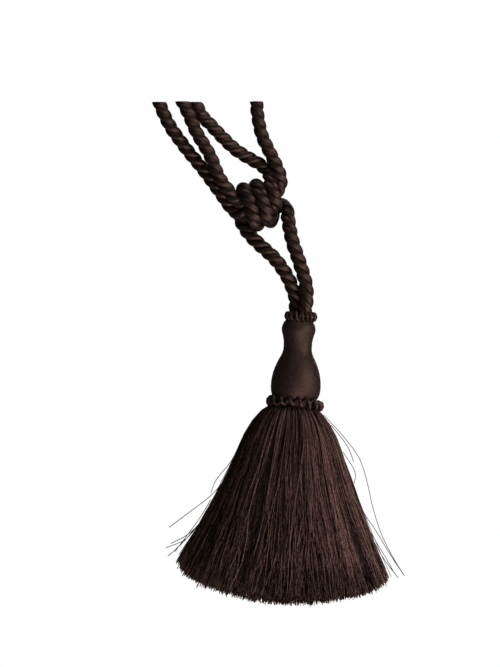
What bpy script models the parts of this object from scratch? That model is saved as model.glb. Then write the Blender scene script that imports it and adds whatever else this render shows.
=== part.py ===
"""Drapery tassel: a fringed tassel hung by a wrapped knot from two doubled tieback ropes.

Metres, +Z up, front towards -Y. The origin is the middle of the rope tops, where the
tassel hangs. Route tables are in millimetres.
"""
import math
import random

import bmesh
import bpy
import numpy as np
from mathutils import Matrix, Vector

MM = 0.001
COLLECTION = "drapery_tassel"
GUIDES = "guides"

# Rope
ROPE_R = 4.92
KNOT_ROPE_R = 4.78
ROPE_LEAD = 26.0
ROPE_STEP = 2.6
PLIES = 3
CREASE = 0.80
LOBE_HALF_ANGLE = 22.0

# Knot
KNOT_CENTRE = (39.04, 0.0, -82.48)
KNOT_RISE = 16.5
KNOT_REACH = 26.0
WRAP_PITCH = 10.3
WRAP_OFFSET = 10.15
WRAP_EVENING = 0.4
CORE_HALF = 4.95
WRAP_FIRST = -90.0
WRAP_LAST = 465.0
WRAP_STEP = 15.0

# Head, in its own frame: axis at the origin, top at height 0
HEAD_TOP = (72.9, 0.0, -173.65)
HEAD_LEAN = 2.9
HEAD_STEPS = 28
HEAD_PROFILE = (
    # radius, height
    (0.0, 0.0),
    (8.6, 0.0),
    (10.4, -1.2),
    (12.0, -3.6),
    (13.1, -6.8),
    (13.1, -9.6),
    (12.2, -13.0),
    (11.3, -17.0),
    (11.0, -21.0),
    (11.2, -25.4),
    (12.4, -29.0),
    (14.4, -33.0),
    (16.4, -37.5),
    (18.1, -42.5),
    (19.2, -48.0),
    (19.6, -53.5),
    (19.2, -58.5),
    (18.0, -62.2),
    (16.2, -65.0),
    (15.2, -67.0),
    (15.2, -73.4),
    (0.0, -73.4),
)

# Ruffs
UPPER_RUFF_R = 12.2
UPPER_RUFF_HEIGHT = 3.3
UPPER_RUFF_WAVES = 13
UPPER_RUFF_SWING = 2.9
UPPER_RUFF_WIRE = 1.25
LOWER_RUFF_R = 20.3
LOWER_RUFF_HEIGHT = -69.4
LOWER_RUFF_TURNS = 18
LOWER_RUFF_COIL = 2.35
LOWER_RUFF_WIRE = 1.6
LOWER_RUFF_TILT = 1.5

# Skirt, in its own frame: fan axis at the origin, backing's underside at height 0
SKIRT_TOP = (66.6, 0.0, -249.9)
SKIRT_LEAN = 3.4
BACKING_R = 20.2
BACKING_THICK = 2.6
FRINGE_LENGTH = 159.5
FRINGE_APEX = 7.5
LOCK_RINGS = (7, 16, 26, 36, 48)
LOCK_SHRINK = 0.90
TIP_SHRINK = 0.80
RAGGED = 2.4
FAN_LEVELS = (
    # radius at the fan's edge, height
    (29.5, -6.0),
    (36.5, -16.0),
    (58.5, -68.0),
)
FAN_EDGE = 87.5

# Routes: x, depth, height in mm
OUTER_ROUTE = (
    (-40.8, 2.5, 4.0), (-35.2, 2.5, -9.7), (-29.7, 3.0, -20.3),
    (-24.5, 3.4, -27.7), (-16.4, 4.0, -38.5), (-5.0, 4.6, -52.4),
    (9.2, 3.9, -71.6), (16.1, 4.5, -81.4), (19.0, 4.1, -85.1),
    (22.5, 2.5, -88.1), (26.7, 0.9, -89.7), (31.2, 0.2, -89.8),
    (41.3, 0.0, -86.9), (48.5, -0.2, -85.2), (53.2, -3.3, -84.4),
    (54.2, -6.7, -82.0), (53.0, -9.2, -76.7), (51.5, -9.2, -72.3),
    (49.7, -7.5, -66.9), (48.5, -4.6, -61.9), (45.8, -1.0, -56.1),
    (40.6, 1.0, -51.1), (33.4, 2.1, -45.9), (22.4, 3.0, -38.1),
    (11.5, 3.0, -27.8), (2.6, 3.0, -17.7), (-3.2, 3.0, -10.8),
    (-10.3, 3.0, 4.0),
)
INNER_ROUTE = (
    (-22.4, -3.0, 4.0), (-15.7, -3.0, -9.4), (-9.1, -3.8, -24.6),
    (-1.4, -4.5, -37.5), (2.8, -4.9, -45.4), (7.2, -5.0, -56.6),
    (11.5, -4.5, -64.5), (17.1, -3.9, -71.5), (21.7, -2.7, -77.5),
    (28.2, -0.7, -80.1), (33.9, 0.0, -78.9), (41.1, 0.2, -76.7),
    (46.8, 1.4, -75.6), (51.1, 2.2, -74.7), (56.5, 2.0, -70.0),
    (58.8, -0.2, -63.4), (58.4, -1.6, -59.1), (56.7, -2.7, -53.5),
    (53.5, -3.1, -46.6), (49.0, -3.0, -38.8), (43.1, -3.0, -26.7),
    (39.9, -3.0, -12.0), (38.5, -3.0, 4.0),
)
RIGHT_LEG = (
    (76.9, -4.1, -172.5), (77.5, -3.8, -167.4), (79.1, -3.0, -158.6),
    (79.1, -2.6, -149.6), (77.4, -2.4, -142.3), (71.6, -1.7, -123.7),
    (68.2, -1.2, -113.8), (65.4, -0.2, -102.1), (64.1, 2.0, -93.5),
    (62.8, 6.9, -85.6), (59.7, 10.6, -82.2), (55.4, 12.6, -82.8),
    (52.2, 11.9, -86.6), (51.3, 6.8, -92.6),
)
LEFT_LEG = (
    (27.4, 7.4, -73.7), (27.5, 9.7, -77.3), (26.6, 11.2, -80.8),
    (25.0, 12.0, -85.2), (25.2, 11.4, -91.0), (26.8, 9.8, -96.6),
    (30.3, 7.6, -102.9), (34.3, 6.3, -107.6), (41.2, 4.8, -113.9),
    (53.3, 2.5, -125.1), (58.8, 1.9, -132.2), (62.9, 2.0, -138.5),
    (66.0, 2.3, -145.3), (69.4, 3.0, -158.4), (70.0, 3.5, -164.3),
    (69.6, 4.1, -172.5),
)


def clear_scene():
    for ob in list(bpy.data.objects):
        bpy.data.objects.remove(ob, do_unlink=True)
    for col in list(bpy.data.collections):
        bpy.data.collections.remove(col)


def make_collection(name):
    col = bpy.data.collections.new(name)
    bpy.context.scene.collection.children.link(col)
    return col


def make_material(name, colour, roughness, sheen):
    mat = bpy.data.materials.new(name)
    mat.use_nodes = True
    shader = mat.node_tree.nodes["Principled BSDF"]
    shader.inputs["Base Color"].default_value = (*colour, 1.0)
    shader.inputs["Roughness"].default_value = roughness
    shader.inputs["Sheen Weight"].default_value = sheen
    mat.diffuse_color = (*colour, 1.0)
    return mat


def add_mesh_object(name, mesh, col, mat):
    ob = bpy.data.objects.new(name, mesh)
    col.objects.link(ob)
    mesh.materials.clear()
    mesh.materials.append(mat)
    return ob


def smooth_line(points, per=24):
    """A centripetal curve through all the points."""
    p = np.array(points, float)
    p = np.vstack([2 * p[0] - p[1], p, 2 * p[-1] - p[-2]])
    t = np.concatenate([[0.0], np.cumsum(np.linalg.norm(np.diff(p, axis=0), axis=1) ** 0.5)])
    parts = []
    for i in range(1, len(p) - 2):
        t0, t1, t2, t3 = t[i - 1:i + 3]
        u = np.linspace(t1, t2, per, endpoint=False)[:, None]
        a1 = (t1 - u) / (t1 - t0) * p[i - 1] + (u - t0) / (t1 - t0) * p[i]
        a2 = (t2 - u) / (t2 - t1) * p[i] + (u - t1) / (t2 - t1) * p[i + 1]
        a3 = (t3 - u) / (t3 - t2) * p[i + 1] + (u - t2) / (t3 - t2) * p[i + 2]
        b1 = (t2 - u) / (t2 - t0) * a1 + (u - t0) / (t2 - t0) * a2
        b2 = (t3 - u) / (t3 - t1) * a2 + (u - t1) / (t3 - t1) * a3
        parts.append((t2 - u) / (t2 - t1) * b1 + (u - t1) / (t2 - t1) * b2)
    parts.append(p[-2][None])
    return np.vstack(parts)


def even_line(line, step):
    run = np.concatenate([[0.0], np.cumsum(np.linalg.norm(np.diff(line, axis=0), axis=1))])
    count = int(round(run[-1] / step))
    at = np.linspace(0.0, run[-1], count + 1)
    return np.stack([np.interp(at, run, line[:, k]) for k in range(3)], 1), at


def wrap_point(degrees):
    """A point of the hanger's wraps: 0 is the front, 90 the top, 180 the back."""
    phi = math.radians(degrees)
    rise = math.radians(KNOT_RISE)
    along = Vector((math.cos(rise), 0.0, math.sin(rise)))
    up = Vector((-math.sin(rise), 0.0, math.cos(rise)))
    front = Vector((0.0, -1.0, 0.0))
    lift = CORE_HALF * min(1.0, max(-1.0, 3.0 * math.sin(phi)))
    turn = phi - WRAP_EVENING * math.sin(phi)
    shift = WRAP_PITCH * (0.5 - turn / math.tau)
    point = Vector(KNOT_CENTRE) + along * shift
    point += up * (lift + WRAP_OFFSET * math.sin(phi))
    point += front * (WRAP_OFFSET * math.cos(phi))
    return tuple(point)


def hanger_route():
    count = int(round((WRAP_LAST - WRAP_FIRST) / WRAP_STEP))
    wraps = [wrap_point(WRAP_FIRST + WRAP_STEP * i) for i in range(count + 1)]
    return list(RIGHT_LEG) + wraps + list(LEFT_LEG)


def rope_section(guides):
    """The rope's outline: three rounded plies with a crease between them."""
    curve = bpy.data.curves.new("rope_section", "CURVE")
    curve.dimensions = "2D"
    points = []
    for ply in range(PLIES):
        middle = math.tau * ply / PLIES
        points.append((CREASE, middle - math.pi / PLIES))
        points.append((1.0, middle - math.radians(LOBE_HALF_ANGLE)))
        points.append((1.0, middle + math.radians(LOBE_HALF_ANGLE)))
    spline = curve.splines.new("POLY")
    spline.points.add(len(points) - 1)
    for target, (radius, angle) in zip(spline.points, points):
        target.co = (radius * MM * math.cos(angle), radius * MM * math.sin(angle), 0.0, 1.0)
    spline.use_cyclic_u = True
    ob = bpy.data.objects.new("rope_section", curve)
    guides.objects.link(ob)
    return ob


def rope_radius(point):
    """The rope is squeezed slightly inside the knot."""
    away = (Vector(point) - Vector(KNOT_CENTRE)).length
    k = min(1.0, max(0.0, (KNOT_REACH - away) / 6.0 + 0.5))
    k = k * k * (3.0 - 2.0 * k)
    return ROPE_R + (KNOT_ROPE_R - ROPE_R) * k


def cut_level(bm):
    """Cut free rope ends off flat at the mount's height."""
    everything = list(bm.verts) + list(bm.edges) + list(bm.faces)
    bmesh.ops.bisect_plane(
        bm, geom=everything, dist=1e-6, plane_co=(0.0, 0.0, 0.0),
        plane_no=(0.0, 0.0, 1.0), clear_outer=True)
    rim = [edge for edge in bm.edges if edge.is_boundary]
    if rim:
        bmesh.ops.holes_fill(bm, edges=rim, sides=0)


def make_rope(name, route, section, col, guides, mat):
    points, at = even_line(smooth_line(route), ROPE_STEP)
    curve = bpy.data.curves.new(name, "CURVE")
    curve.dimensions = "3D"
    curve.twist_mode = "MINIMUM"
    curve.bevel_mode = "OBJECT"
    curve.bevel_object = section
    curve.use_fill_caps = True
    spline = curve.splines.new("POLY")
    spline.points.add(len(points) - 1)
    for target, point, run in zip(spline.points, points, at):
        target.co = (point[0] * MM, point[1] * MM, point[2] * MM, 1.0)
        target.radius = rope_radius(point)
        target.tilt = -math.tau * run / ROPE_LEAD
    guide = bpy.data.objects.new(name + "_line", curve)
    guides.objects.link(guide)
    bpy.context.view_layer.update()
    shaped = guide.evaluated_get(bpy.context.evaluated_depsgraph_get())
    mesh = bpy.data.meshes.new_from_object(shaped)
    mesh.name = name
    bm = bmesh.new()
    bm.from_mesh(mesh)
    bmesh.ops.remove_doubles(bm, verts=bm.verts, dist=1e-6)
    for face in bm.faces:
        face.smooth = len(face.verts) == 4
    sides = [face for face in bm.faces if face.smooth]
    bmesh.ops.triangulate(bm, faces=sides, quad_method="SHORT_EDGE")
    cut_level(bm)
    bmesh.ops.recalc_face_normals(bm, faces=bm.faces)
    bm.to_mesh(mesh)
    bm.free()
    bpy.data.objects.remove(guide, do_unlink=True)
    return add_mesh_object(name, mesh, col, mat)


def closed_wire(name, points, radius, sides, col, guides, mat):
    """A closed ring of round gimp through the points."""
    curve = bpy.data.curves.new(name, "CURVE")
    curve.dimensions = "3D"
    curve.twist_mode = "MINIMUM"
    curve.bevel_depth = radius * MM
    curve.bevel_resolution = sides // 2 - 2
    spline = curve.splines.new("POLY")
    spline.points.add(len(points) - 1)
    for target, point in zip(spline.points, points):
        target.co = (point[0] * MM, point[1] * MM, point[2] * MM, 1.0)
    spline.use_cyclic_u = True
    guide = bpy.data.objects.new(name + "_line", curve)
    guides.objects.link(guide)
    bpy.context.view_layer.update()
    shaped = guide.evaluated_get(bpy.context.evaluated_depsgraph_get())
    mesh = bpy.data.meshes.new_from_object(shaped)
    mesh.name = name
    bm = bmesh.new()
    bm.from_mesh(mesh)
    bmesh.ops.remove_doubles(bm, verts=bm.verts, dist=1e-6)
    bmesh.ops.recalc_face_normals(bm, faces=bm.faces)
    bm.to_mesh(mesh)
    bm.free()
    mesh.shade_smooth()
    bpy.data.objects.remove(guide, do_unlink=True)
    return add_mesh_object(name, mesh, col, mat)


def head_matrix():
    lean = Matrix.Rotation(math.radians(HEAD_LEAN), 4, "Y")
    return Matrix.Translation(Vector(HEAD_TOP) * MM) @ lean


def make_head(col, mat):
    mesh = bpy.data.meshes.new("head")
    verts = [(r * MM, 0.0, z * MM) for r, z in HEAD_PROFILE]
    edges = [(i, i + 1) for i in range(len(verts) - 1)]
    mesh.from_pydata(verts, edges, [])
    ob = add_mesh_object("head", mesh, col, mat)
    screw = ob.modifiers.new("turn", "SCREW")
    screw.axis = "Z"
    screw.angle = math.tau
    screw.steps = HEAD_STEPS
    screw.render_steps = HEAD_STEPS
    screw.use_merge_vertices = True
    screw.merge_threshold = 0.00001
    screw.use_normal_calculate = True
    screw.use_smooth_shade = True
    bpy.context.view_layer.update()
    shaped = ob.evaluated_get(bpy.context.evaluated_depsgraph_get())
    turned = bpy.data.meshes.new_from_object(shaped)
    ob.modifiers.clear()
    turned.transform(head_matrix())
    ob.data = turned
    turned.name = "head"
    return ob


def make_upper_ruff(col, guides, mat):
    """A gimp that loops up and down round the feet of the hanger rope."""
    matrix = head_matrix()
    count = UPPER_RUFF_WAVES * 7
    points = []
    for i in range(count):
        angle = math.tau * i / count
        wave = angle * UPPER_RUFF_WAVES
        radius = UPPER_RUFF_R + 0.35 * math.cos(2.0 * wave)
        height = UPPER_RUFF_HEIGHT + UPPER_RUFF_SWING * math.sin(wave)
        local = Vector((radius * math.cos(angle), radius * math.sin(angle), height)) * MM
        points.append(tuple((matrix @ local) / MM))
    return closed_wire("upper_ruff", points, UPPER_RUFF_WIRE, 6, col, guides, mat)


def make_lower_ruff(col, guides, mat):
    """A gimp coiled into loops round the head's foot."""
    tilt = Matrix.Rotation(math.radians(LOWER_RUFF_TILT), 4, "Y")
    lift = Matrix.Translation(Vector((0.0, 0.0, LOWER_RUFF_HEIGHT)) * MM)
    matrix = head_matrix() @ lift @ tilt
    count = LOWER_RUFF_TURNS * 9
    points = []
    for i in range(count):
        angle = math.tau * i / count
        coil = angle * LOWER_RUFF_TURNS
        radius = LOWER_RUFF_R + LOWER_RUFF_COIL * math.cos(coil)
        height = LOWER_RUFF_COIL * math.sin(coil)
        local = Vector((radius * math.cos(angle), radius * math.sin(angle), height)) * MM
        points.append(tuple((matrix @ local) / MM))
    return closed_wire("lower_ruff", points, LOWER_RUFF_WIRE, 6, col, guides, mat)


def zip_rings(inner, outer):
    """Triangles between two rings of points, as (ring, index) triples."""
    faces = []
    i = 0
    j = 0
    while i < inner or j < outer:
        if j < outer and (i >= inner or (j + 0.5) / outer <= (i + 0.5) / inner):
            faces.append(((0, i % inner), (1, j % outer), (1, (j + 1) % outer)))
            j += 1
        else:
            faces.append(((0, i % inner), (1, j % outer), (0, (i + 1) % inner)))
            i += 1
    return faces


def skirt_cells():
    """The backing's underside split into triangles: ring points and faces."""
    rings = [[(0.0, 0.0)]]
    for k, count in enumerate(LOCK_RINGS):
        radius = BACKING_R * ((k + 1) / len(LOCK_RINGS)) ** 0.85
        shift = 0.5 * (k % 2) * math.tau / count
        ring = []
        for i in range(count):
            angle = shift + math.tau * i / count
            ring.append((radius * math.cos(angle), radius * math.sin(angle)))
        rings.append(ring)
    start = [0]
    for ring in rings[:-1]:
        start.append(start[-1] + len(ring))
    faces = []
    first = LOCK_RINGS[0]
    for i in range(first):
        faces.append((0, start[1] + i, start[1] + (i + 1) % first))
    for k in range(1, len(rings) - 1):
        for triple in zip_rings(len(rings[k]), len(rings[k + 1])):
            faces.append(tuple(start[k + ring] + index for ring, index in triple))
    points = [point for ring in rings for point in ring]
    return points, faces, start[-1]


def fan_point(point, level):
    """Where a point of the backing's underside goes at a level of the fan."""
    radius = math.hypot(*point)
    share = radius / BACKING_R
    if level < len(FAN_LEVELS):
        edge, height = FAN_LEVELS[level]
        scale = edge / BACKING_R
        drop = height
    else:
        scale = FAN_EDGE / BACKING_R
        spread = FAN_EDGE * share
        drop = FRINGE_APEX - math.sqrt(FRINGE_LENGTH ** 2 - spread ** 2)
    return Vector((point[0] * scale, point[1] * scale, drop))


def make_skirt(col, mat):
    """Locks of thread rooted in the backing under the head, fanning out downwards."""
    rng = random.Random(11)
    points, faces, rim = skirt_cells()
    bm = bmesh.new()
    root = [bm.verts.new((x, y, 0.0)) for x, y in points]
    rim_count = LOCK_RINGS[-1]
    top = [bm.verts.new((x, y, BACKING_THICK)) for x, y in points[rim:]]
    for i in range(rim_count):
        j = (i + 1) % rim_count
        bm.faces.new((root[rim + i], root[rim + j], top[j], top[i]))
    bm.faces.new(top)
    levels = len(FAN_LEVELS)
    for face in faces:
        cell = [points[v] for v in face]
        if signed_area(cell) > 0.0:
            face = (face[0], face[2], face[1])
            cell = [points[v] for v in face]
        below = [root[v] for v in face]
        middle = (sum(p[0] for p in cell) / 3.0, sum(p[1] for p in cell) / 3.0)
        slim = [toward(p, middle, LOCK_SHRINK) for p in cell]
        ring = [bm.verts.new((x, y, 0.0)) for x, y in slim]
        join_rings(bm, below, ring)
        cut = rng.uniform(-RAGGED, RAGGED)
        for level in range(levels + 1):
            shrink = LOCK_SHRINK if level < levels else TIP_SHRINK
            corners = [toward(p, middle, shrink) for p in cell]
            placed = [fan_point(p, level) for p in corners]
            if level == levels:
                placed = [p * (1.0 + cut / FRINGE_LENGTH) for p in placed]
            lower = [bm.verts.new(p) for p in placed]
            join_rings(bm, ring, lower)
            ring = lower
        bm.faces.new(ring)
    bmesh.ops.recalc_face_normals(bm, faces=bm.faces)
    lean = Matrix.Rotation(math.radians(SKIRT_LEAN), 4, "Y")
    place = Matrix.Translation(Vector(SKIRT_TOP) * MM) @ lean @ Matrix.Scale(MM, 4)
    bmesh.ops.transform(bm, matrix=place, verts=bm.verts)
    mesh = bpy.data.meshes.new("skirt")
    bm.to_mesh(mesh)
    bm.free()
    return add_mesh_object("skirt", mesh, col, mat)


def signed_area(cell):
    (ax, ay), (bx, by), (cx, cy) = cell
    return 0.5 * ((bx - ax) * (cy - ay) - (cx - ax) * (by - ay))


def toward(point, middle, share):
    x = middle[0] + (point[0] - middle[0]) * share
    y = middle[1] + (point[1] - middle[1]) * share
    return (x, y)


def join_rings(bm, upper, lower):
    for i in range(3):
        j = (i + 1) % 3
        bm.faces.new((upper[i], upper[j], lower[j], lower[i]))


def build():
    clear_scene()
    col = make_collection(COLLECTION)
    guides = make_collection(GUIDES)
    dark = (0.028, 0.018, 0.016)
    warm = (0.034, 0.021, 0.019)
    make_skirt(col, make_material("skirt_rayon", dark, 0.45, 0.3))
    make_head(col, make_material("head_rayon", warm, 0.38, 0.3))
    make_lower_ruff(col, guides, make_material("lower_gimp", dark, 0.45, 0.3))
    make_upper_ruff(col, guides, make_material("upper_gimp", dark, 0.45, 0.3))
    section = rope_section(guides)
    hanger_mat = make_material("hanger_rayon", warm, 0.42, 0.3)
    outer_mat = make_material("outer_rayon", warm, 0.42, 0.3)
    inner_mat = make_material("inner_rayon", warm, 0.42, 0.3)
    make_rope("hanger_rope", hanger_route(), section, col, guides, hanger_mat)
    make_rope("tieback_rope_outer", OUTER_ROUTE, section, col, guides, outer_mat)
    make_rope("tieback_rope_inner", INNER_ROUTE, section, col, guides, inner_mat)
    section.hide_render = True
    section.display_type = "WIRE"


build()
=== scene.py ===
"""Looks of the drapery tassel: ropes laid from three plies, wound head, looped gimps, fringe.

Metres, +Z up, front towards -Y, origin at the middle of the rope tops. Sizes and routes
are in millimetres and multiplied by MM where a mesh is made. Leans and the wraps' angles are
in degrees, and angles round the fringe in radians.
"""
import math

import bpy
import numpy as np
from mathutils import Matrix, Vector


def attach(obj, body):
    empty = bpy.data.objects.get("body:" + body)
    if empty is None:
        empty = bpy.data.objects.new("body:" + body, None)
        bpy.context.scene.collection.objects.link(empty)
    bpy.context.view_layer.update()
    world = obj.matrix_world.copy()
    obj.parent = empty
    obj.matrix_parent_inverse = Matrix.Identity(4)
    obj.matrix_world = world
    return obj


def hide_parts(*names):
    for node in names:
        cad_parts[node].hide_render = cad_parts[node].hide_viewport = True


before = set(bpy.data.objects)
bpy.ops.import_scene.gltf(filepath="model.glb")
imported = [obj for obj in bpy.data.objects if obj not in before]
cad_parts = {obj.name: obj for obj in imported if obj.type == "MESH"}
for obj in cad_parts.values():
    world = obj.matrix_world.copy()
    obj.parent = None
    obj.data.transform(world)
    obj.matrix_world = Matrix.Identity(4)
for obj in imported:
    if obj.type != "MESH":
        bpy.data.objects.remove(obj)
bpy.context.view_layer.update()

MM = 0.001

# Seeds of the random draws
HEAD_SEED = 5
UPPER_RUFF_SEED = 3
LOWER_RUFF_SEED = 8
LOCK_SEED = 7
THREAD_SEED = 21

# Camera: level, long lens, aimed at the middle of the picture
VIEW_CENTRE = (33.6, 0.0, -185.2)
VIEW_DISTANCE = 2400.0
VIEW_HEIGHT = 533.6

# Lights: the place in metres that all are turned to
LIGHT_CENTRE = (0.06, 0.0, -0.22)

# Reddish sheen of the rayon
SHEEN_TINT = (1.0, 0.60, 0.52, 1.0)

# Rope: LEAD is one full turn of the plies, and the two PLY values are shares of the radius
ROPE_R = 5.5
KNOT_ROPE_R = 5.6
LEG_FULLNESS = 1.06
ROPE_LEAD = 25.0
ROPE_STEP = 0.9
ROPE_SIDES = 42
PLY_R = 0.67
PLY_OUT = 0.34
CUT_OVERRUN = 3.6

# Knot: the hanger wrapped round the two tieback ropes, which lie one above the other
KNOT_CENTRE = (39.04, 0.0, -82.48)
KNOT_RISE = 14.5
KNOT_REACH = 26.0
KNOT_BLEND = 6.0
WRAP_PITCH = 10.3
WRAP_OFFSET = 10.15
WRAP_EVENING = 0.4
CORE_HALF = 4.95
WRAP_FIRST = -90.0
WRAP_LAST = 465.0
WRAP_STEP = 15.0

# Head: a turned outline with the thread's turns as a fine relief
HEAD_TOP = (72.9, 0.0, -173.65)
HEAD_LEAN = 2.9
HEAD_SIDES = 84
HEAD_THREAD = 0.62
HEAD_THREAD_RELIEF = 0.07
HEAD_THREAD_SPREAD = 0.035
HEAD_FULLNESS = 0.4
HEAD_UV_LENGTH = 60.0
HEAD_PROFILE = (
    # radius, height
    (7.2, 1.2), (9.3, 0.4), (10.4, -1.2), (12.0, -3.6), (13.1, -6.8), (13.1, -9.6),
    (12.2, -13.0), (11.3, -17.0), (11.0, -21.0), (11.2, -25.4), (12.4, -29.0),
    (14.4, -33.0), (16.4, -37.5), (18.1, -42.5), (19.2, -48.0), (19.6, -53.5),
    (19.2, -58.5), (18.0, -62.2), (16.2, -65.0), (15.2, -67.0), (15.2, -73.4),
)

# Ruffs: coils of gimp laid round the head
UPPER_RUFF_R = 10.1
UPPER_RUFF_SHIFT = 1.0
UPPER_RUFF_HEIGHT = 2.1
UPPER_RUFF_TURNS = 17
UPPER_RUFF_COIL = (2.2, 2.9)
UPPER_RUFF_WIRE = 1.15
LOWER_RUFF_R = 20.0
LOWER_RUFF_HEIGHT = -69.6
LOWER_RUFF_TURNS = 18
LOWER_RUFF_COIL = (2.0, 2.9)
LOWER_RUFF_WIRE = 1.5
LOWER_RUFF_TILT = 3.3
LOWER_RUFF_RISE = 3.6
GIMP_LEAD = 5.2
GIMP_SIDES = 14
STRAND_BULGE = 0.20
COIL_POINTS = 44
COIL_UNEVEN = 0.07
COIL_SLIP = 0.26

# Fringe: its fan from the backing to the cut edge
SKIRT_TOP = (66.6, 0.0, -249.9)
SKIRT_LEAN = 3.4
FRINGE_LENGTH = 159.5
FAN_EDGE = 86.4
FAN_FOOT = -127.5
FAN_BELLY = 22.3
FRONT_DROP = 9.3
LEFT_LIFT = 5.5
RIGHT_LIFT = 2.5
FAN_OUTLINE = (
    # radius, height
    (18.4, 6.0), (22.4, 3.5), (26.3, -0.8), (32.4, -9.3), (38.2, -21.5),
    (46.3, -43.0), (61.2, -77.0),
)
CORE_SHARE = 0.84
CORE_END = 0.955
CORE_SIDES = 96
CORE_RINGS = 30
CORE_FOOT_RINGS = 14

# Threads: thickness, number, band of radius, steps along each, and how lengths differ, as shares
THREAD_R = (0.23, 0.32)
THREAD_UNEVEN = (0.75, 1.25)
OUTER_THREADS = 8200
MIDDLE_THREADS = 2000
INNER_THREADS = 5200
OUTER_BAND = (0.89, 1.0)
MIDDLE_BAND = (0.78, 0.92)
INNER_BAND = (0.0, 0.86)
OUTER_STEPS = 10
MIDDLE_STEPS = 8
INNER_STEPS = 2
INNER_START = 0.90
STEP_EASE = 1.35
SHORT_BY = 0.075
SHORT_EASE = 1.6
LENGTH_MEAN = 1.01
LENGTH_SPREAD = 0.005

# Locks above and tufts below: how they draw threads together, in or aside, and the left fold
FRINGE_LOCKS = 62
FRINGE_TUFTS = 230
LOCK_STRAY = 0.35
TUFT_STRAY = 0.5
LOCK_PULL = (0.35, 0.85)
LOCK_REACH = 0.36
LOCK_DEPTH_ABOVE = 1.6
LOCK_DEPTH_BELOW = 2.4
LOCK_EDGE_DEPTH = 2.0
LOCK_DRIFT = 2.0
TUFT_PULL = 0.55
TUFT_DEPTH = 2.6
TUFT_DRIFT = 1.9
TUFT_BEND = 1.2
SWELL_WAVES = 6
SWELL_TURNS = (7, 24)
SWELL_SLANT = 9.0
SWELL_DEPTH = 1.3
FOLD_ANGLE = -2.42
FOLD_WIDTH = 0.36
FOLD_DEPTH = 2.6

# How far down, as a share of the length, each of these is at full strength
LOCK_ONSET = 0.1
EDGE_ONSET = 0.06
SWELL_ONSET = 0.15
FOLD_ONSET = 0.25

# Single threads: how far they stray in mm, the curl's phase in radians, and the share that is wild
THREAD_SWAY = 2.5
THREAD_CURL = 3.0
CURL_PHASE = (8.0, 15.0)
THREAD_LIFT = 0.7
WILD_SHARE = 0.30
WILD_DRIFT = 9.0
WILD_LIFT = 1.2

# Tones of the threads, from 0 dark to 1 pale; some of the values below paint light and shade into
# them
TONE_MEAN = 0.66
LOCK_TONE = 0.06
TUFT_TONE = 0.06
THREAD_TONE = 0.24
# A share of threads, picked at random and painted near black as shade between the threads
SHADED_SHARE = 0.36
SHADED_TONE = 0.14
# Painted shade in the gaps between locks and between tufts
LOCK_GAP_SHADE = 0.8
TUFT_GAP_SHADE = 0.5
# Painted light and shade: swells paler where they bulge out and darker where they sink; the fold
# painted darker as shade
SWELL_LIGHT_AND_SHADE = 0.12
FOLD_SHADE = 0.65
# Painted light: threads made paler down their length towards the cut edge
PAINTED_LIGHT_DOWN = 0.4
# Painted light: the inner threads at the cut edge made paler, though they lie in shade
INNER_PAINTED_LIGHT = 0.3
LOOSE_TONE = 0.2

# Loose threads at the fringe's sides: x, depth, height in mm
LOOSE_R = 0.36
LOOSE_THREADS = (
    ((92.0, -6.0, -250.0), (107.2, -8.0, -266.4), (120.8, -8.0, -284.8), (127.2, -8.0, -304.8),
     (131.2, -9.0, -323.2), (138.4, -10.0, -345.6), (147.2, -10.0, -363.2), (156.6, -10.0, -378.4)),
    ((98.0, -12.0, -258.0), (111.2, -14.0, -275.2), (116.0, -14.0, -287.2)),
    ((108.0, -4.0, -280.0), (117.6, -5.0, -296.8), (116.8, -5.0, -304.8)),
    ((103.0, 8.0, -270.0), (116.8, 9.0, -306.4), (124.8, 10.0, -328.8), (134.4, 10.0, -343.2),
     (146.4, 8.0, -363.2), (156.4, 6.0, -378.2)),
    ((116.0, -16.0, -318.0), (122.4, -17.0, -331.2), (139.2, -18.0, -363.2), (151.2, -18.0, -379.2)),
    ((119.0, 4.0, -322.0), (131.0, 4.0, -346.0), (143.0, 3.0, -366.0), (149.0, 2.0, -377.0)),
    ((26.0, -4.0, -272.0), (18.4, -5.0, -287.2), (6.4, -6.0, -302.4), (2.4, -6.0, -312.8)),
    ((12.0, 6.0, -304.0), (4.0, 7.0, -313.6), (-13.0, 8.0, -327.0), (-31.2, 9.0, -340.8)),
    ((2.0, -10.0, -318.0), (-4.8, -11.0, -329.6), (-26.4, -12.0, -359.2)),
    ((-6.0, 2.0, -336.0), (-18.0, 2.0, -350.0), (-34.0, 2.0, -357.0)),
    ((-8.0, -5.0, -338.0), (-20.0, -6.0, -352.0), (-32.0, -6.0, -363.0)),
    ((-4.0, 9.0, -335.0), (-17.0, 10.0, -347.0), (-30.0, 11.0, -354.0)),
)

# Routes: x, depth, height in mm
OUTER_ROUTE = (
    (-40.8, 2.5, 4.0), (-35.2, 2.5, -9.7), (-29.7, 3.0, -20.3),
    (-24.5, 3.4, -27.7), (-16.4, 4.0, -38.5), (-5.0, 4.6, -52.4),
    (9.2, 3.9, -71.6), (16.1, 4.5, -81.4), (19.0, 4.1, -85.1),
    (22.5, 2.5, -88.1), (26.7, 0.9, -89.7), (31.2, 0.2, -89.8),
    (41.3, 0.0, -86.9), (48.5, -0.2, -85.2), (53.2, -3.3, -84.4),
    (54.2, -6.7, -82.0), (53.0, -9.2, -76.7), (51.5, -9.2, -72.3),
    (49.9, -7.5, -66.9), (49.5, -3.6, -61.6), (47.4, 1.4, -55.4),
    (42.0, 2.8, -50.0), (33.8, 3.2, -45.3), (22.4, 3.0, -38.1),
    (11.3, 3.0, -27.8), (1.8, 3.0, -17.7), (-4.7, 3.0, -10.8),
    (-11.9, 3.0, 4.0),
)
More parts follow.
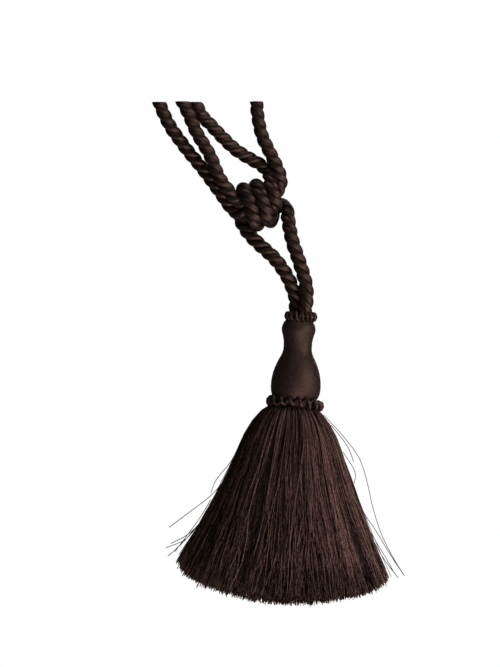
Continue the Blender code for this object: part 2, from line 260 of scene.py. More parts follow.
INNER_ROUTE = (
    (-22.4, -3.0, 4.0), (-15.7, -3.0, -9.4), (-9.1, -3.8, -24.6),
    (-1.4, -4.5, -37.5), (2.8, -4.9, -45.4), (7.2, -5.0, -56.6),
    (11.5, -4.5, -64.5), (17.1, -3.9, -71.5), (21.7, -2.7, -77.5),
    (28.2, -0.7, -80.1), (33.9, 0.0, -78.9), (41.1, 0.2, -76.7),
    (46.8, 1.4, -75.6), (51.1, 2.2, -74.7), (56.5, 2.0, -70.0),
    (58.4, -0.2, -63.4), (57.8, -2.1, -59.1), (55.7, -3.7, -53.5),
    (52.5, -4.0, -46.6), (48.6, -3.6, -38.8), (43.1, -3.0, -26.7),
    (39.9, -3.0, -12.0), (38.5, -3.0, 4.0),
)
RIGHT_LEG = (
    (76.9, -4.1, -172.5), (77.5, -3.8, -167.4), (78.7, -3.8, -158.6),
    (78.7, -3.2, -149.6), (77.4, -2.4, -142.3), (71.6, -1.7, -123.7),
    (68.2, -1.2, -113.8), (65.4, -0.2, -102.1), (64.1, 2.0, -93.5),
    (62.8, 6.9, -85.6), (59.7, 10.6, -82.2), (55.4, 12.6, -82.8),
    (52.2, 11.9, -86.6), (51.3, 6.8, -92.6),
)
LEFT_LEG = (
    (27.4, 7.4, -73.7), (27.5, 9.7, -77.3), (26.6, 11.2, -80.8),
    (25.0, 12.0, -85.2), (25.4, 11.4, -91.0), (27.4, 9.8, -96.6),
    (31.0, 7.6, -102.7), (34.7, 6.3, -107.4), (41.2, 4.8, -113.9),
    (53.3, 2.5, -125.1), (58.8, 1.9, -132.2), (62.9, 2.0, -138.5),
    (66.2, 2.6, -145.3), (70.4, 3.8, -158.4), (70.3, 4.0, -164.3),
    (69.6, 4.1, -172.5),
)


def smooth_line(points, per=24):
    """A centripetal curve through all the points."""
    p = np.array(points, float)
    p = np.vstack([2 * p[0] - p[1], p, 2 * p[-1] - p[-2]])
    t = np.concatenate([[0.0], np.cumsum(np.linalg.norm(np.diff(p, axis=0), axis=1) ** 0.5)])
    parts = []
    for i in range(1, len(p) - 2):
        t0, t1, t2, t3 = t[i - 1:i + 3]
        u = np.linspace(t1, t2, per, endpoint=False)[:, None]
        a1 = (t1 - u) / (t1 - t0) * p[i - 1] + (u - t0) / (t1 - t0) * p[i]
        a2 = (t2 - u) / (t2 - t1) * p[i] + (u - t1) / (t2 - t1) * p[i + 1]
        a3 = (t3 - u) / (t3 - t2) * p[i + 1] + (u - t2) / (t3 - t2) * p[i + 2]
        b1 = (t2 - u) / (t2 - t0) * a1 + (u - t0) / (t2 - t0) * a2
        b2 = (t3 - u) / (t3 - t1) * a2 + (u - t1) / (t3 - t1) * a3
        parts.append((t2 - u) / (t2 - t1) * b1 + (u - t1) / (t2 - t1) * b2)
    parts.append(p[-2][None])
    return np.vstack(parts)


def even_line(line, step):
    """The line again with points about one step apart, and how far along each lies."""
    run = np.concatenate([[0.0], np.cumsum(np.linalg.norm(np.diff(line, axis=0), axis=1))])
    count = int(round(run[-1] / step))
    at = np.linspace(0.0, run[-1], count + 1)
    return np.stack([np.interp(at, run, line[:, k]) for k in range(3)], 1), at


def frames_along(points, closed=False):
    """Two side directions at each point that don't turn about the line."""
    if closed:
        tangent = np.roll(points, -1, axis=0) - np.roll(points, 1, axis=0)
    else:
        tangent = np.gradient(points, axis=0)
    tangent /= np.linalg.norm(tangent, axis=1)[:, None]
    side = np.zeros_like(points)
    start = np.cross(tangent[0], (0.0, 1.0, 0.0))
    side[0] = start / np.linalg.norm(start)
    for i in range(1, len(points)):
        s = side[i - 1] - tangent[i] * np.dot(side[i - 1], tangent[i])
        side[i] = s / np.linalg.norm(s)
    other = np.cross(tangent, side)
    if closed:
        end = side[-1] - tangent[0] * np.dot(side[-1], tangent[0])
        slip = math.atan2(np.dot(end, other[0]), np.dot(end, side[0]))
        turn = -slip * np.arange(len(points)) / len(points)
        c = np.cos(turn)[:, None]
        s = np.sin(turn)[:, None]
        side, other = side * c + other * s, other * c - side * s
    return side, other


def wrap_point(degrees):
    """A point of the hanger's wraps: 0 is the front, 90 the top, 180 the back."""
    phi = math.radians(degrees)
    rise = math.radians(KNOT_RISE)
    along = Vector((math.cos(rise), 0.0, math.sin(rise)))
    up = Vector((-math.sin(rise), 0.0, math.cos(rise)))
    front = Vector((0.0, -1.0, 0.0))
    lift = CORE_HALF * min(1.0, max(-1.0, 3.0 * math.sin(phi)))
    turn = phi - WRAP_EVENING * math.sin(phi)
    shift = WRAP_PITCH * (0.5 - turn / math.tau)
    point = Vector(KNOT_CENTRE) + along * shift
    point += up * (lift + WRAP_OFFSET * math.sin(phi))
    point += front * (WRAP_OFFSET * math.cos(phi))
    return tuple(point)


def hanger_route():
    """Up from the head, round the knot and back down to the head."""
    count = int(round((WRAP_LAST - WRAP_FIRST) / WRAP_STEP))
    wraps = [wrap_point(WRAP_FIRST + WRAP_STEP * i) for i in range(count + 1)]
    return list(RIGHT_LEG) + wraps + list(LEFT_LEG)


def mesh_object(name, verts, faces, uvs, mat):
    """faces is an array of equal-sided faces; uvs gives one pair for each face corner."""
    mesh = bpy.data.meshes.new(name)
    sides = faces.shape[1]
    mesh.vertices.add(len(verts))
    mesh.vertices.foreach_set("co", np.asarray(verts * MM, np.float32).ravel())
    mesh.loops.add(faces.size)
    mesh.loops.foreach_set("vertex_index", faces.astype(np.int32).ravel())
    mesh.polygons.add(len(faces))
    starts = np.arange(0, faces.size, sides, dtype=np.int32)
    mesh.polygons.foreach_set("loop_start", starts)
    mesh.polygons.foreach_set("loop_total", np.full(len(faces), sides, np.int32))
    mesh.polygons.foreach_set("use_smooth", np.full(len(faces), True))
    layer = mesh.uv_layers.new(name="UVMap")
    layer.data.foreach_set("uv", np.asarray(uvs, np.float32).ravel())
    mesh.update(calc_edges=True)
    mesh.validate()
    mesh.materials.append(mat)
    ob = bpy.data.objects.new(name, mesh)
    bpy.context.scene.collection.objects.link(ob)
    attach(ob, "root")
    return ob


def tube(name, rings, u, v, mat, closed=False, twist=0.0):
    """A skin over rings of points. u runs round a ring, v along the tube."""
    count, sides = rings.shape[:2]
    verts = rings.reshape(-1, 3)
    spans = count if closed else count - 1
    i = np.arange(spans)[:, None]
    j = np.arange(sides)[None, :]
    i2 = (i + 1) % count
    j2 = (j + 1) % sides
    faces = np.stack([i * sides + j, i * sides + j2, i2 * sides + j2, i2 * sides + j], -1)
    faces = faces.reshape(-1, 4)
    u2 = np.append(u, u[0] + 1.0)
    va = np.broadcast_to(v[:spans, None], (spans, sides))
    vb = np.broadcast_to(v[1:spans + 1, None], (spans, sides))
    ua = np.broadcast_to(u2[None, :-1], (spans, sides))
    ub = np.broadcast_to(u2[None, 1:], (spans, sides))
    uvs = np.stack([np.stack([ua - twist * va, va], -1), np.stack([ub - twist * va, va], -1),
                    np.stack([ub - twist * vb, vb], -1), np.stack([ua - twist * vb, vb], -1)],
                   2).reshape(-1, 2)
    if not closed:
        first = len(verts)
        verts = np.vstack([verts, rings[0].mean(0), rings[-1].mean(0)])
        j = np.arange(sides)
        j2 = (j + 1) % sides
        start = np.stack([np.full(sides, first), j2, j, j], 1)
        last = (count - 1) * sides
        end = np.stack([np.full(sides, first + 1), last + j, last + j2, last + j2], 1)
        return tube_with_caps(name, verts, faces, uvs, start, end, mat)
    return mesh_object(name, verts, faces, uvs, mat)


def tube_with_caps(name, verts, faces, uvs, start, end, mat):
    """Triangulates the sides so that the caps' triangles fit the same mesh."""
    a = faces[:, [0, 1, 2]]
    b = faces[:, [0, 2, 3]]
    corner = uvs.reshape(-1, 4, 2)
    uv_a = corner[:, [0, 1, 2]]
    uv_b = corner[:, [0, 2, 3]]
    caps = np.vstack([start[:, :3], end[:, :3]])
    uv_caps = np.zeros((len(caps), 3, 2))
    every = np.vstack([a, b, caps])
    uv = np.concatenate([uv_a, uv_b, uv_caps]).reshape(-1, 2)
    return mesh_object(name, verts, every, uv, mat)


def node(tree, kind, **values):
    n = tree.nodes.new(kind)
    for key, value in values.items():
        setattr(n, key, value)
    return n


def thread_material(name, shade, light, roughness, stretch, detail, bump,
                    satin=0.0, specular=0.5, plies=0):
    """Satin thread: streaks of two tones and a fine relief, both stretched along the UVs.

    With plies, painted shade darkens the base colour in the hollows between that many plies.
    """
    mat = bpy.data.materials.new(name)
    mat.use_nodes = True
    tree = mat.node_tree
    shader = tree.nodes["Principled BSDF"]
    coords = node(tree, "ShaderNodeTexCoord")
    place = node(tree, "ShaderNodeMapping")
    place.inputs["Scale"].default_value = (stretch[0], stretch[1], 1.0)
    noise = node(tree, "ShaderNodeTexNoise")
    noise.inputs["Scale"].default_value = 1.0
    noise.inputs["Detail"].default_value = detail
    noise.inputs["Roughness"].default_value = 0.6
    ramp = node(tree, "ShaderNodeValToRGB")
    ramp.color_ramp.elements[0].position = 0.35
    ramp.color_ramp.elements[0].color = (*shade, 1.0)
    ramp.color_ramp.elements[1].position = 0.7
    ramp.color_ramp.elements[1].color = (*light, 1.0)
    relief = node(tree, "ShaderNodeBump")
    relief.inputs["Strength"].default_value = bump
    relief.inputs["Distance"].default_value = 0.0002
    link = tree.links.new
    link(coords.outputs["UV"], place.inputs["Vector"])
    link(place.outputs["Vector"], noise.inputs["Vector"])
    link(noise.outputs["Fac"], ramp.inputs["Fac"])
    # Painted shade: the base colour is darkened in the hollows between the plies
    if plies:
        split = node(tree, "ShaderNodeSeparateXYZ")
        around = node(tree, "ShaderNodeMath", operation="ADD")
        turn = node(tree, "ShaderNodeMath", operation="MULTIPLY")
        turn.inputs[1].default_value = plies * math.tau
        wave = node(tree, "ShaderNodeMath", operation="COSINE")
        hollow_shade = node(tree, "ShaderNodeMapRange")
        hollow_shade.inputs["From Min"].default_value = -0.9
        hollow_shade.inputs["From Max"].default_value = 0.3
        hollow_shade.inputs["To Min"].default_value = 0.2
        darker = node(tree, "ShaderNodeVectorMath", operation="SCALE")
        link(coords.outputs["UV"], split.inputs["Vector"])
        link(split.outputs["X"], around.inputs[0])
        link(split.outputs["Y"], around.inputs[1])
        link(around.outputs["Value"], turn.inputs[0])
        link(turn.outputs["Value"], wave.inputs[0])
        link(wave.outputs["Value"], hollow_shade.inputs["Value"])
        link(ramp.outputs["Color"], darker.inputs["Vector"])
        link(hollow_shade.outputs["Result"], darker.inputs["Scale"])
        link(darker.outputs["Vector"], shader.inputs["Base Color"])
    else:
        link(ramp.outputs["Color"], shader.inputs["Base Color"])
    link(noise.outputs["Fac"], relief.inputs["Height"])
    link(relief.outputs["Normal"], shader.inputs["Normal"])
    shader.inputs["Roughness"].default_value = roughness
    shader.inputs["Specular IOR Level"].default_value = specular
    if satin:
        grain = node(tree, "ShaderNodeTangent", direction_type="UV_MAP", uv_map="UVMap")
        link(grain.outputs["Tangent"], shader.inputs["Tangent"])
        shader.inputs["Anisotropic"].default_value = satin
    shader.inputs["Specular Tint"].default_value = SHEEN_TINT
    return mat


def fringe_material(name, shade, light, roughness, specular):
    """Single threads: each has its own tone, kept as u, paler and darker lengths, and painted light
    on the cut ends.
    """
    mat = bpy.data.materials.new(name)
    mat.use_nodes = True
    tree = mat.node_tree
    link = tree.links.new
    shader = tree.nodes["Principled BSDF"]
    coords = node(tree, "ShaderNodeTexCoord")
    split = node(tree, "ShaderNodeSeparateXYZ")
    place = node(tree, "ShaderNodeMapping")
    place.inputs["Scale"].default_value = (90.0, 84.0, 1.0)
    noise = node(tree, "ShaderNodeTexNoise")
    noise.inputs["Scale"].default_value = 1.0
    noise.inputs["Detail"].default_value = 2.0
    spread = node(tree, "ShaderNodeMapRange")
    spread.inputs["From Min"].default_value = 0.40
    spread.inputs["From Max"].default_value = 0.60
    spread.inputs["To Min"].default_value = 0.30
    blend = node(tree, "ShaderNodeMath", operation="MULTIPLY")
    # Painted light: the last part of each thread toward its cut end is made paler
    ends = node(tree, "ShaderNodeMapRange")
    ends.inputs["From Min"].default_value = 0.975
    ends.inputs["From Max"].default_value = 1.0
    ends.inputs["To Min"].default_value = 0.0
    ends.inputs["To Max"].default_value = 0.3
    total = node(tree, "ShaderNodeMath", operation="ADD")
    tones = node(tree, "ShaderNodeValToRGB")
    tones.color_ramp.elements[0].position = 0.08
    tones.color_ramp.elements[0].color = (*shade, 1.0)
    tones.color_ramp.elements[1].position = 0.65
    tones.color_ramp.elements[1].color = (*light, 1.0)
    link(coords.outputs["UV"], split.inputs["Vector"])
    link(coords.outputs["UV"], place.inputs["Vector"])
    link(place.outputs["Vector"], noise.inputs["Vector"])
    link(noise.outputs["Fac"], spread.inputs["Value"])
    link(spread.outputs["Result"], blend.inputs[0])
    link(split.outputs["X"], blend.inputs[1])
    link(split.outputs["Y"], ends.inputs["Value"])
    link(blend.outputs["Value"], total.inputs[0])
    link(ends.outputs["Result"], total.inputs[1])
    link(total.outputs["Value"], tones.inputs["Fac"])
    link(tones.outputs["Color"], shader.inputs["Base Color"])
    shader.inputs["Roughness"].default_value = roughness
    shader.inputs["Specular IOR Level"].default_value = specular
    shader.inputs["Specular Tint"].default_value = SHEEN_TINT
    return mat


def ply_outline(sides):
    """Angles, and radii of three round plies against each other as shares of the rope's."""
    angle = math.tau * np.arange(sides) / sides + math.pi / 3.0
    inside = np.mod(angle + math.pi / 3.0, math.tau / 3.0) - math.pi / 3.0
    across = PLY_OUT * np.sin(inside)
    return angle, PLY_OUT * np.cos(inside) + np.sqrt(PLY_R ** 2 - across ** 2)


def rope_radius(points):
    """The rope is slightly fuller inside the knot."""
    away = np.linalg.norm(points - np.array(KNOT_CENTRE), axis=1)
    k = np.clip((KNOT_REACH - away) / KNOT_BLEND + 0.5, 0.0, 1.0)
    k = k * k * (3.0 - 2.0 * k)
    return ROPE_R + (KNOT_ROPE_R - ROPE_R) * k


def make_rope(name, route, mat, fullness=1.0):
    """A rope of three plies laid along the route, cut flat at the height of the origin."""
    points, at = even_line(smooth_line(route), ROPE_STEP)
    radius = rope_radius(points) * fullness
    side, other = frames_along(points)
    angle, outline = ply_outline(ROPE_SIDES)
    turned = angle[None, :] - math.tau * at[:, None] / ROPE_LEAD
    reach = radius[:, None] * outline[None, :]
    rings = (points[:, None] + side[:, None] * (np.cos(turned) * reach)[..., None]
             + other[:, None] * (np.sin(turned) * reach)[..., None])
    rings[..., 2] = np.minimum(rings[..., 2], 0.0)
    keep = points[:, 2] <= CUT_OVERRUN
    ob = tube(name, rings[keep], angle / math.tau, at[keep] / ROPE_LEAD, mat, twist=1.0)
    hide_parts(name)


def head_matrix():
    lean = Matrix.Rotation(math.radians(HEAD_LEAN), 4, "Y")
    return Matrix.Translation(Vector(HEAD_TOP)) @ lean


def moved(points, matrix):
    m = np.array(matrix)
    return points @ m[:3, :3].T + m[:3, 3]


def make_head(mat):
    """The head's outline, with the rise and fall of each turn of thread wound round it."""
    outline = np.array([(r, 0.0, z) for r, z in HEAD_PROFILE])
    body, at = even_line(smooth_line(outline, 12), HEAD_THREAD / 3.0)
    wave = np.abs(np.sin(math.pi * at / HEAD_THREAD))
    rng = np.random.default_rng(HEAD_SEED)
    turns = np.arange(0.0, at[-1] + 1.0, HEAD_THREAD)
    uneven = np.interp(at, turns, rng.normal(0.0, HEAD_THREAD_SPREAD, len(turns)))
    relief = HEAD_THREAD_RELIEF * (wave - 1.0) + uneven
    relief[at < 1.0] = 0.0
    slope = np.gradient(body, axis=0)
    slope /= np.linalg.norm(slope, axis=1)[:, None]
    radius = body[:, 0] - slope[:, 2] * relief + HEAD_FULLNESS
    height = body[:, 2] + slope[:, 0] * relief
    angle = math.tau * np.arange(HEAD_SIDES) / HEAD_SIDES
    rings = np.stack([radius[:, None] * np.cos(angle), radius[:, None] * np.sin(angle),
                      np.broadcast_to(height[:, None], (len(height), HEAD_SIDES))], -1)
    rings = moved(rings.reshape(-1, 3), head_matrix()).reshape(rings.shape)
    ob = tube("head_winding", rings[:, ::-1], angle / math.tau, at / HEAD_UV_LENGTH, mat)
    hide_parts("head")


def gimp(name, points, radius, mat, slot):
    """A closed gimp of two twisted strands through the points."""
    side, other = frames_along(points, closed=True)
    hop = np.linalg.norm(np.roll(points, -1, axis=0) - points, axis=1)
    at = np.concatenate([[0.0], np.cumsum(hop)])
    turns = round(at[-1] / GIMP_LEAD)
    angle = math.tau * np.arange(GIMP_SIDES) / GIMP_SIDES
    turned = angle[None, :] + math.tau * turns * (at[:-1] / at[-1])[:, None]
    bulge = 1.0 - STRAND_BULGE + STRAND_BULGE * np.abs(np.cos(angle))
    reach = radius * bulge[None, :]
    rings = (points[:, None] + side[:, None] * (np.cos(turned) * reach)[..., None]
             + other[:, None] * (np.sin(turned) * reach)[..., None])
    ob = tube(name, rings, angle / math.tau, at / GIMP_LEAD, mat, closed=True)
    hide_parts(slot)


def coil_ring(turns, radius, coil, seed):
    """A coil laid round a ring, its turns a little uneven, with the ring's angles."""
    rng = np.random.default_rng(seed)
    count = turns * COIL_POINTS
    angle = math.tau * np.arange(count) / count
    size = np.ones(count)
    slip = np.zeros(count)
    for k in range(3, 9):
        size += COIL_UNEVEN * rng.normal() * np.sin(k * angle + rng.uniform(0.0, math.tau))
        slip += COIL_SLIP * rng.normal() * np.sin(k * angle + rng.uniform(0.0, math.tau))
    turn = angle * turns + slip
    out = radius + coil[0] * size * np.cos(turn)
    height = -coil[1] * size * np.sin(turn)
    return angle, out, height


def make_upper_ruff(mat):
    angle, out, height = coil_ring(UPPER_RUFF_TURNS, UPPER_RUFF_R, UPPER_RUFF_COIL,
                                   UPPER_RUFF_SEED)
    local = np.stack([out * np.cos(angle) + UPPER_RUFF_SHIFT, out * np.sin(angle),
                      height + UPPER_RUFF_HEIGHT], -1)
    gimp("upper_gimp", moved(local, head_matrix()), UPPER_RUFF_WIRE, mat, "upper_ruff")


def make_lower_ruff(mat):
    tilt = Matrix.Rotation(math.radians(LOWER_RUFF_TILT), 4, "Y")
    lift = Matrix.Translation(Vector((0.0, 0.0, LOWER_RUFF_HEIGHT)))
    angle, out, height = coil_ring(LOWER_RUFF_TURNS, LOWER_RUFF_R, LOWER_RUFF_COIL,
                                   LOWER_RUFF_SEED)
    height = height + LOWER_RUFF_RISE * 0.5 * (1.0 - np.sin(angle))
    local = np.stack([out * np.cos(angle), out * np.sin(angle), height], -1)
    points = moved(local, head_matrix() @ lift @ tilt)
    gimp("lower_gimp", points, LOWER_RUFF_WIRE, mat, "lower_ruff")


def skirt_matrix():
    lean = Matrix.Rotation(math.radians(SKIRT_LEAN), 4, "Y")
    return Matrix.Translation(Vector(SKIRT_TOP)) @ lean


def fan_radius_and_height(share, along):
    """Radius and height in the fan, for arrays of radial share and share of the length."""
    tip_radius = FAN_EDGE * share
    tip_height = FAN_FOOT - FAN_BELLY * (1.0 - share ** 2)
    radii = [edge * share for edge, _ in FAN_OUTLINE] + [tip_radius]
    heights = [np.full_like(share, h) for _, h in FAN_OUTLINE] + [tip_height]
    outline = np.array(FAN_OUTLINE + ((FAN_EDGE, FAN_FOOT),))
    run = np.concatenate([[0.0], np.cumsum(np.linalg.norm(np.diff(outline, axis=0), axis=1))])
    stops = run / run[-1]
    r = np.stack(radii, -1)
    z = np.stack(heights, -1)
    return hermite(stops, r, slopes(stops, r), along), hermite(stops, z, slopes(stops, z), along)


def slopes(stops, values):
    """Slopes for a smooth curve through the values, one row a thread."""
    step = np.diff(stops)
    rise = np.diff(values, axis=-1) / step
    inner = (rise[..., :-1] * step[1:] + rise[..., 1:] * step[:-1]) / (step[1:] + step[:-1])
    return np.concatenate([rise[..., :1], inner, rise[..., -1:]], -1)


def hermite(stops, values, slope, along):
    """The smooth curve through the values at the stops, read at each place along."""
    at = np.clip(np.searchsorted(stops, along, side="right") - 1, 0, len(stops) - 2)
    rows = np.arange(len(values))[:, None]
    width = (stops[at + 1] - stops[at])
    t = (along - stops[at]) / width
    a = values[rows, at]
    b = values[rows, at + 1]
    ma = slope[rows, at] * width
    mb = slope[rows, at + 1] * width
    return ((2 * t ** 3 - 3 * t ** 2 + 1) * a + (t ** 3 - 2 * t ** 2 + t) * ma
            + (-2 * t ** 3 + 3 * t ** 2) * b + (t ** 3 - t ** 2) * mb)


def nearest(angle, centres):
    """Index of the nearest centre round the circle, and the way to it."""
    way = centres[None, :] - angle[:, None]
    way = np.mod(way + math.pi, math.tau) - math.pi
    index = np.argmin(np.abs(way), axis=1)
    return index, way[np.arange(len(angle)), index]


def lay_of_locks():
    """Where the locks and tufts lie round the fringe, and how each one differs."""
    shift = np.random.default_rng(LOCK_SEED)
    locks = np.arange(FRINGE_LOCKS) + shift.uniform(-LOCK_STRAY, LOCK_STRAY, FRINGE_LOCKS)
    locks *= math.tau / FRINGE_LOCKS
    tufts = np.arange(FRINGE_TUFTS) + shift.uniform(-TUFT_STRAY, TUFT_STRAY, FRINGE_TUFTS)
    tufts *= math.tau / FRINGE_TUFTS
    lock = {"place": locks, "pull": shift.uniform(*LOCK_PULL, FRINGE_LOCKS)}
    lock["depth"] = shift.uniform(0.0, 1.0, FRINGE_LOCKS) ** 2
    lock["drift"] = shift.normal(0.0, 1.0, FRINGE_LOCKS)
    tuft = {"place": tufts, "drift": shift.normal(0.0, 1.0, (FRINGE_TUFTS, 2))}
    tuft["depth"] = shift.uniform(0.0, 1.0, FRINGE_TUFTS)
    waves = [(shift.integers(*SWELL_TURNS), shift.uniform(-SWELL_SLANT, SWELL_SLANT),
              shift.uniform(0.0, math.tau)) for _ in range(SWELL_WAVES)]
    lock["tone"] = shift.normal(0.0, 1.0, FRINGE_LOCKS)
    tuft["tone"] = shift.normal(0.0, 1.0, FRINGE_TUFTS)
    return lock, tuft, waves


def fringe_height(height, share, angle, along):
    """The cut edge hangs lower at the front and higher at the two sides."""
    low = np.clip(along, 0.0, 1.0) ** 3
    front = np.maximum(0.0, -np.sin(angle))[:, None] ** 0.8 * share[:, None] ** 2
    height = height - np.maximum(along - 1.0, 0.0) * FRINGE_LENGTH - FRONT_DROP * front * low
    sides = LEFT_LIFT * np.maximum(0.0, -np.cos(angle)) ** 6
    sides = sides + RIGHT_LIFT * np.maximum(0.0, np.cos(angle)) ** 8
    return height + (sides * share ** 2)[:, None] * low


def thread_lines(rng, count, shares, start, steps):
    """Centrelines of the fringe's threads, drawn together in locks above and tufts below.

    Also gives each thread's angle round the fringe and the tone of each of its points, which holds
    painted light and painted shade.
    """
    share = np.sqrt(rng.uniform(shares[0] ** 2, shares[1] ** 2, count))
    angle = rng.uniform(0.0, math.tau, count)
    along = start + (1.0 - start) * np.linspace(0.0, 1.0, steps + 1)[None, :] ** STEP_EASE
    short = SHORT_BY * rng.uniform(0.0, 1.0, (count, 1)) ** SHORT_EASE
    along = along * (LENGTH_MEAN + rng.normal(0.0, LENGTH_SPREAD, (count, 1)) - short)
    radius, height = fan_radius_and_height(share, np.minimum(along, 1.0))
    height = fringe_height(height, share, angle, along)

    locks, tufts, waves = lay_of_locks()
    lock, to_lock = nearest(angle, locks["place"])
    tuft, to_tuft = nearest(angle, tufts["place"])
    hold = 1.0 / (1.0 + (along / LOCK_REACH) ** 2)
    pull = locks["pull"][lock][:, None] * hold
    edge = (np.abs(to_lock) * FRINGE_LOCKS / math.pi)[:, None]
    outer = share[:, None] ** 2
    deep = locks["depth"][lock][:, None]
    swell = sum(np.sin(turns * angle[:, None] + slant * along + at) / 3.0
                for turns, slant, at in waves)
    fold = np.exp(-((angle - FOLD_ANGLE) / FOLD_WIDTH) ** 2)[:, None]
    inset = LOCK_DEPTH_ABOVE * deep * np.minimum(along / LOCK_ONSET, 1.0) * hold
    inset = inset + LOCK_DEPTH_BELOW * deep * along * outer
    inset = inset + LOCK_EDGE_DEPTH * edge ** 2 * pull * np.minimum(along / EDGE_ONSET, 1.0)
    inset = inset + TUFT_DEPTH * tufts["depth"][tuft][:, None] * (1.0 - hold) * outer
    inset = inset - SWELL_DEPTH * swell * np.minimum(along / SWELL_ONSET, 1.0) * outer
    inset = inset + FOLD_DEPTH * fold * np.minimum(along / FOLD_ONSET, 1.0) * outer

    theta = angle[:, None] + to_lock[:, None] * pull
    theta = theta + to_tuft[:, None] * TUFT_PULL * (1.0 - hold)
    phase = rng.uniform(0.0, math.tau, (count, 2, 1))
    sway = rng.normal(0.0, 1.0, (count, 2, 1))
    curl = rng.uniform(*CURL_PHASE, (count, 1))
    wild = (rng.uniform(size=(count, 1)) < WILD_SHARE) * rng.normal(0.0, 1.0, (count, 1))
    ease = np.minimum(along * 1.6, 1.0)
    drift = LOCK_DRIFT * locks["drift"][lock][:, None] * along ** 1.5
    drift = drift + TUFT_DRIFT * tufts["drift"][tuft, :1] * along ** 1.3
    bend = np.sin(5.0 * along + tuft[:, None])
    drift = drift + TUFT_BEND * tufts["drift"][tuft, 1:] * bend * along
    drift = drift + THREAD_SWAY * sway[:, 0] * np.sin(3.4 * along + phase[:, 0]) * ease
    drift = drift + THREAD_CURL * sway[:, 1] * np.sin(curl * along + phase[:, 1]) * ease * along
    drift = drift + WILD_DRIFT * wild * along ** 1.2
    theta = theta + drift / np.maximum(radius, 14.0)
    lift = np.sin(3.0 * along + phase[:, 1]) * np.minimum(along * 2.0, 1.0)
    lift = THREAD_LIFT * sway[:, 1] * lift + WILD_LIFT * np.minimum(np.abs(wild), 1.0) * along
    radius = radius - inset + lift
    lines = np.stack([radius * np.cos(theta), radius * np.sin(theta), height], -1)

    tone = TONE_MEAN + LOCK_TONE * locks["tone"][lock] + TUFT_TONE * tufts["tone"][tuft]
    tone = tone + THREAD_TONE * rng.normal(0.0, 1.0, count)
    # Painted shade: a random share of threads is made near black, standing in for shade between
    # threads
    shaded = rng.uniform(size=count) < SHADED_SHARE
    tone = np.clip(np.where(shaded, SHADED_TONE * tone, tone), 0.0, 1.0)[:, None]
    # Painted shade: threads near the edges of locks and tufts are darkened, as shadow in the gaps
    brink = (np.abs(to_tuft) * FRINGE_TUFTS / math.pi)[:, None]
    tone = tone * (1.0 - LOCK_GAP_SHADE * np.minimum(edge, 1.0) ** 2 * hold)
    tone = tone * (1.0 - TUFT_GAP_SHADE * np.minimum(brink, 1.0) ** 2 * (1.0 - hold))
    # Painted light and shade: the swells' crests paler and their troughs darker, and painted shade
    # in the left fold
    tone = tone * (1.0 + SWELL_LIGHT_AND_SHADE * swell) * (1.0 - FOLD_SHADE * fold)
    # Painted light: paler further down each thread
    return lines, angle, np.clip(tone * (1.0 + PAINTED_LIGHT_DOWN * along), 0.0, 1.0)


def thread_mesh(name, lines, tone, radius, mat, matrix):
    """Three-sided threads along many lines at once, cut off flat at their ends."""
    count, steps = lines.shape[:2]
    tangent = np.gradient(lines, axis=1)
    tangent /= np.linalg.norm(tangent, axis=2)[..., None]
    outward = lines * np.array([1.0, 1.0, 0.0])
    outward += 1e-6
    side = np.cross(tangent, outward)
    side /= np.linalg.norm(side, axis=2)[..., None]
    other = np.cross(side, tangent)
    corner = math.tau * np.arange(3) / 3.0 + math.pi / 2.0
    ring = (side[:, :, None] * np.cos(corner)[None, None, :, None]
            + other[:, :, None] * np.sin(corner)[None, None, :, None])
    verts = lines[:, :, None] + ring * radius[:, :, None, None]
    verts = moved(verts.reshape(-1, 3), matrix)
    base = (np.arange(count) * steps * 3)[:, None, None]
    i = np.arange(steps - 1)[None, :, None]
    j = np.arange(3)[None, None, :]
    j2 = (j + 1) % 3
    a = base + i * 3 + j
    b = base + i * 3 + j2
    c = base + (i + 1) * 3 + j2
    d = base + (i + 1) * 3 + j
    one = np.stack([a, c, b], -1).reshape(-1, 3)
    two = np.stack([a, d, c], -1).reshape(-1, 3)
    tip = (np.arange(count) * steps * 3 + (steps - 1) * 3)[:, None] + np.array([[0, 1, 2]])
    faces = np.vstack([one, two, tip])
    run = np.linspace(0.0, 1.0, steps)
    t0 = np.broadcast_to(run[None, :-1, None], (count, steps - 1, 3))
    t1 = np.broadcast_to(run[None, 1:, None], (count, steps - 1, 3))
    u0 = np.broadcast_to(tone[:, :-1, None], t0.shape)
    u1 = np.broadcast_to(tone[:, 1:, None], t0.shape)
    uv_one = np.stack([np.stack([u0, t0], -1), np.stack([u1, t1], -1),
                       np.stack([u0, t0], -1)], 3).reshape(-1, 3, 2)
    uv_two = np.stack([np.stack([u0, t0], -1), np.stack([u1, t1], -1),
                       np.stack([u1, t1], -1)], 3).reshape(-1, 3, 2)
    uv_tip = np.stack([tone[:, -1], np.ones(count)], -1)[:, None].repeat(3, 1)
    uvs = np.concatenate([uv_one, uv_two, uv_tip]).reshape(-1, 2)
    ob = mesh_object(name, verts, faces, uvs, mat)
    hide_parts("skirt")


def make_core(mat):
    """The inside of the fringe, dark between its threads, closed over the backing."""
    # Painted shade: the core is near black, standing in for the shade between the threads
    sides = CORE_SIDES
    along = np.linspace(0.01, CORE_END, CORE_RINGS)[None, :]
    r, z = fan_radius_and_height(np.array([CORE_SHARE]), along)
    under = np.linspace(CORE_SHARE, 0.02, CORE_FOOT_RINGS)
    tip_r, tip_z = fan_radius_and_height(under, np.full((CORE_FOOT_RINGS, 1), CORE_END))
    r = np.concatenate([[0.5], r[0], tip_r[1:, 0]])
    z = np.concatenate([[z[0, 0]], z[0], tip_z[1:, 0]])
    angle = math.tau * np.arange(sides) / sides
    rings = np.stack([r[:, None] * np.cos(angle), r[:, None] * np.sin(angle),
                      np.broadcast_to(z[:, None], (len(r), sides))], -1)
    rings = moved(rings.reshape(-1, 3), skirt_matrix()).reshape(rings.shape)
    ob = tube("fringe_core", rings[:, ::-1], angle / math.tau, np.linspace(0.0, 1.0, len(r)),
              mat)
    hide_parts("skirt")


